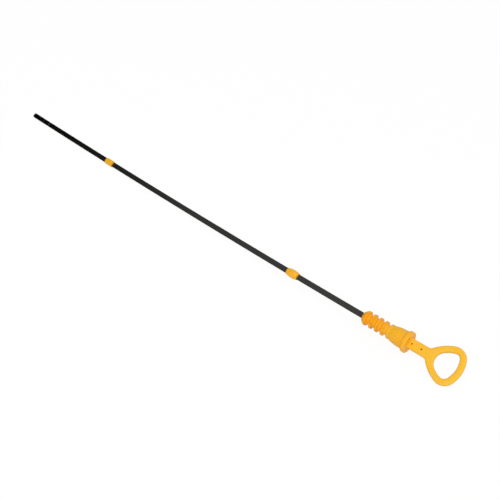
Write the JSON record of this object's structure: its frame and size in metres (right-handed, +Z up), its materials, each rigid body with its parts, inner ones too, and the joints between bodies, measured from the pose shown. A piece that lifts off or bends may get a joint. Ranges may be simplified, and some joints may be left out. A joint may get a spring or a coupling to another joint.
{
  "type": "engine oil dipstick",
  "caption": "Engine oil dipstick: a long flat steel blade with moulded guide beads, and a moulded handle with seal ribs, tapered plug, seat flange and finger loop.",
  "frame": {"origin": "centre of the bounding box at the floor that the dipstick lies on", "axes": "+X along the dipstick towards the finger loop, +Z up from the floor, as the part comes to rest"},
  "size_m": [0.5009, 0.0272, 0.0186],
  "materials": {
    "blade_steel": "black oxide spring steel, satin, with a few handling rubs",
    "bead_plastic": "moulded orange-yellow plastic, soft gloss",
    "handle_plastic": "moulded orange-yellow plastic, soft gloss"
  },
  "bodies": {
    "root": {"dipstick_blade": "blade_steel", "lower_guide_bead": "bead_plastic", "upper_guide_bead": "bead_plastic", "handle": "handle_plastic"}
  },
  "joints": []
}
